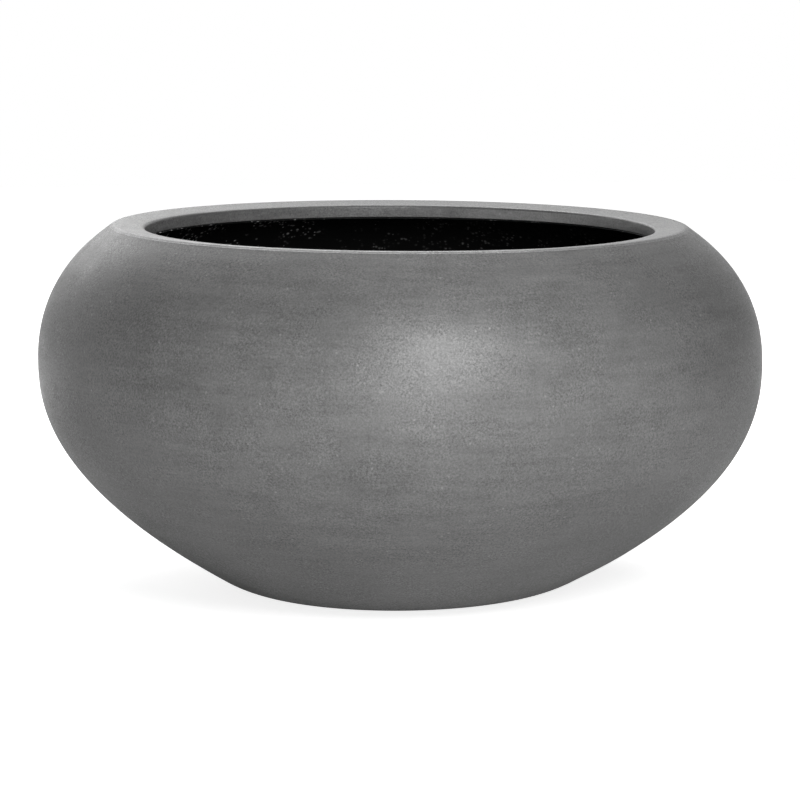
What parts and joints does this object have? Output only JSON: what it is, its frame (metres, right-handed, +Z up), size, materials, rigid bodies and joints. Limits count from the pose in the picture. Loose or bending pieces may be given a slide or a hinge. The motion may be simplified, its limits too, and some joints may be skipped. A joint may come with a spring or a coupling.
{
  "type": "concrete bowl planter",
  "caption": "Wide round concrete bowl planter with a soft belly, a narrow ring around the mouth, a black sealed inside, a stoppered drain hole and rubber pads under the base.",
  "frame": {"origin": "on the ground under the middle of the bowl, in the plane of the pads' undersides", "axes": "+Z up through the middle of the mouth and the drain hole; X and Y are alike, because the bowl is round"},
  "size_m": [0.55, 0.55, 0.2847],
  "materials": {
    "face_cement": "satin",
    "glass_fibre": "matte",
    "core_cement": "matte",
    "black_sealer": "matte",
    "black_rubber": "matte"
  },
  "bodies": {
    "bowl": {"face_coat": "face_cement", "glass_mat": "glass_fibre", "cement_core": "core_cement", "sealing_coat": "black_sealer", "foot_pad_1": "black_rubber", "foot_pad_2": "black_rubber", "foot_pad_3": "black_rubber", "foot_pad_4": "black_rubber"},
    "stopper": {"drain_plug": "black_rubber"}
  },
  "joints": [
    {"name": "stopper_lift", "type": "slide", "parent": "bowl", "child": "stopper", "axis": [0, 0, 1], "range_m": [0, 0.3]}
  ]
}
